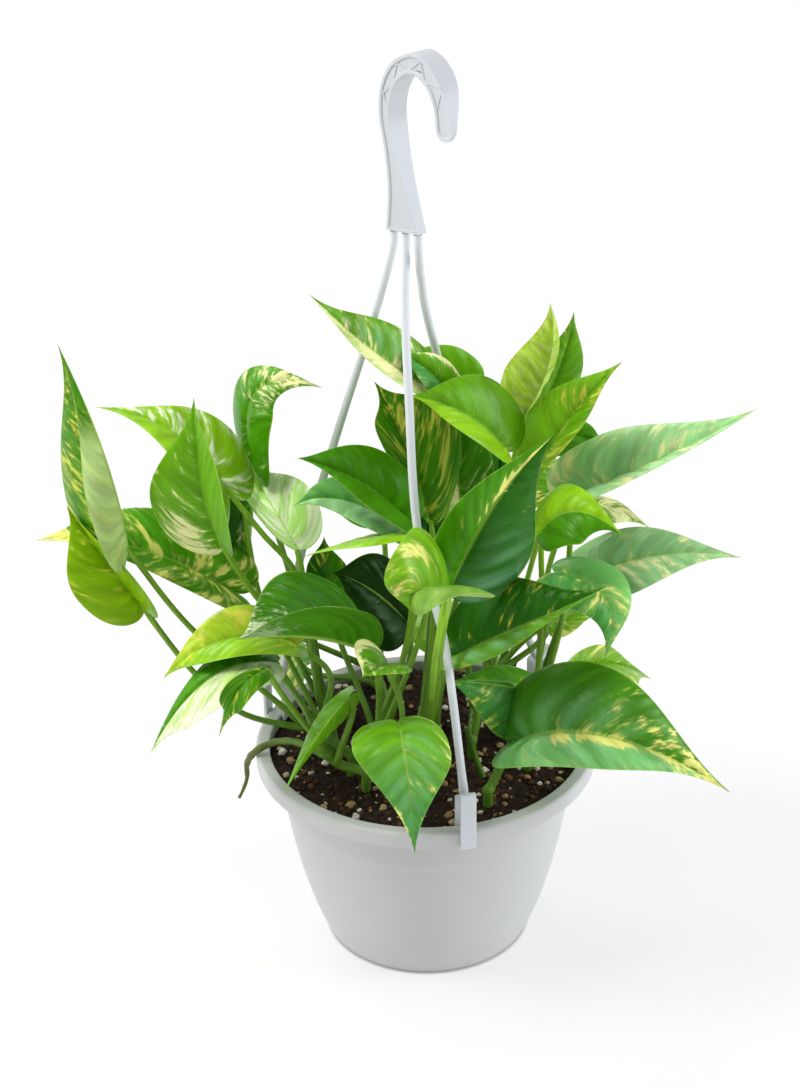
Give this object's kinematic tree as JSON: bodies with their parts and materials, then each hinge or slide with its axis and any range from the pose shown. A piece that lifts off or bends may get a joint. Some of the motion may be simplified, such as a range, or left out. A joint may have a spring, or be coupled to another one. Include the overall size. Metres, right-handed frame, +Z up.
{
  "type": "potted plant",
  "caption": "Variegated pothos with heart-shaped leaves in a round hanging pot, with a strand hanger and an open hook.",
  "frame": {"origin": "centre of the pot's base, on the surface that it stands on", "axes": "+Z up along the pot's axis; -Y towards the front of the plant, the side that the picture shows; +X to its right"},
  "size_m": [0.4071, 0.2804, 0.5388],
  "materials": {
    "pot": "satin",
    "hanger": "satin",
    "soil": "rough",
    "leaf": "satin",
    "stem": "satin",
    "perlite": "rough"
  },
  "bodies": {
    "root": {"pot": "pot", "soil": "soil", "hanger_hook": "hanger", "strand_front": "hanger", "strand_left": "hanger", "strand_right": "hanger", "leaves_far_left": "leaf", "leaves_left_upper": "leaf", "leaves_left_low": "leaf", "leaves_mid_left": "leaf", "leaves_crown_left": "leaf", "leaves_crown_right": "leaf", "leaves_front": "leaf", "leaves_right": "leaf", "leaves_front_low": "leaf", "leaves_front_right": "leaf", "leaves_back_left": "leaf", "leaves_back": "leaf", "leaves_back_right": "leaf"}
  },
  "joints": []
}
